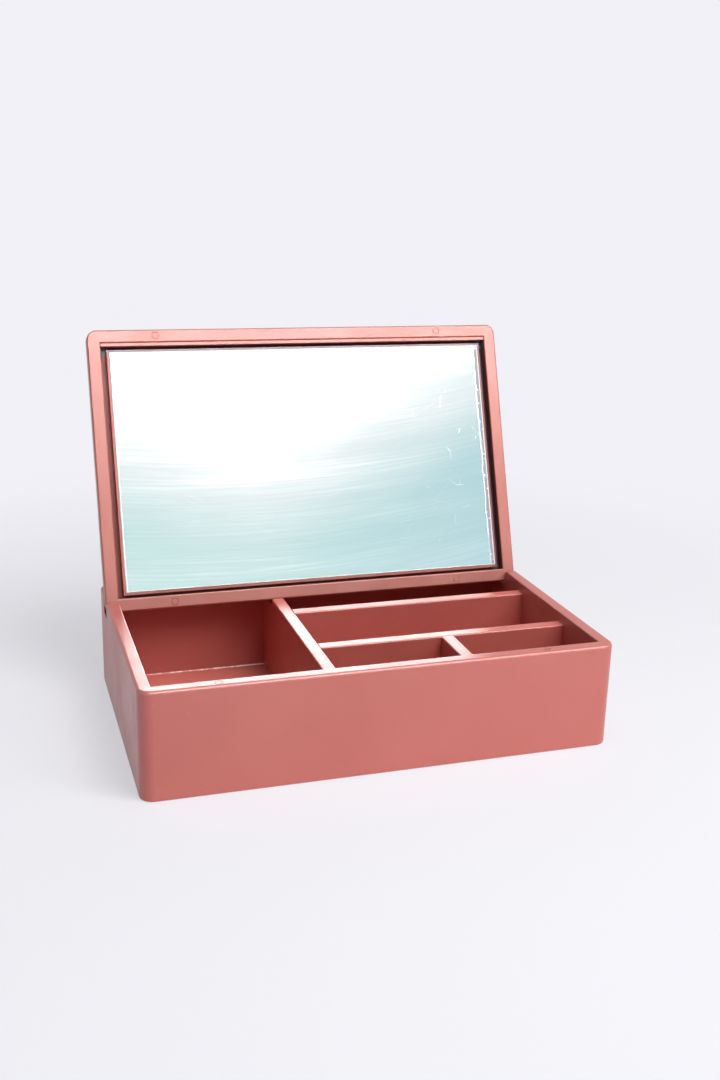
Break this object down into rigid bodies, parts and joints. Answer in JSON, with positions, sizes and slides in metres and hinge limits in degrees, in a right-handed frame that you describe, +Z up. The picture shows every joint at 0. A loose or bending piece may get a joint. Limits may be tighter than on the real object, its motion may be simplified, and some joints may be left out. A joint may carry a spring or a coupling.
{
  "type": "accessory box",
  "caption": "Open accessory box of painted boards with divided compartments and a lift-off mirror lid that stands in notches at the rear.",
  "frame": {"origin": "middle of the base's underside, on the ground", "axes": "+X right as seen from the front, +Y to the back, +Z up"},
  "size_m": [0.322, 0.2446, 0.2591],
  "materials": {
    "wall_paint": "satin lacquer on board",
    "floor_paint": "satin lacquer on board",
    "divider_paint": "satin lacquer on board",
    "lid_paint": "satin lacquer on board",
    "rim_paint": "satin lacquer on board",
    "backing_paint": "satin lacquer on board",
    "tape": "foam tape",
    "mirror": "silvered glass",
    "magnet": "painted over"
  },
  "bodies": {
    "base": {"front_wall": "wall_paint", "back_wall": "wall_paint", "left_wall": "wall_paint", "right_wall": "wall_paint", "floor_panel": "floor_paint", "main_divider": "divider_paint", "rear_divider": "divider_paint", "middle_divider": "divider_paint", "short_divider": "divider_paint", "base_magnets": "magnet"},
    "lid": {"lid_panel": "lid_paint", "lid_lower_rail": "rim_paint", "lid_upper_rail": "rim_paint", "lid_left_stile": "rim_paint", "lid_right_stile": "rim_paint", "mirror_backing": "backing_paint", "mirror_tape": "tape", "mirror_glass": "mirror", "lid_magnets": "magnet"}
  },
  "joints": [
    {"name": "lid_lift", "type": "slide", "parent": "base", "child": "lid", "axis": [0, 0.342, 0.9397], "range_m": [0, 0.04]}
  ]
}
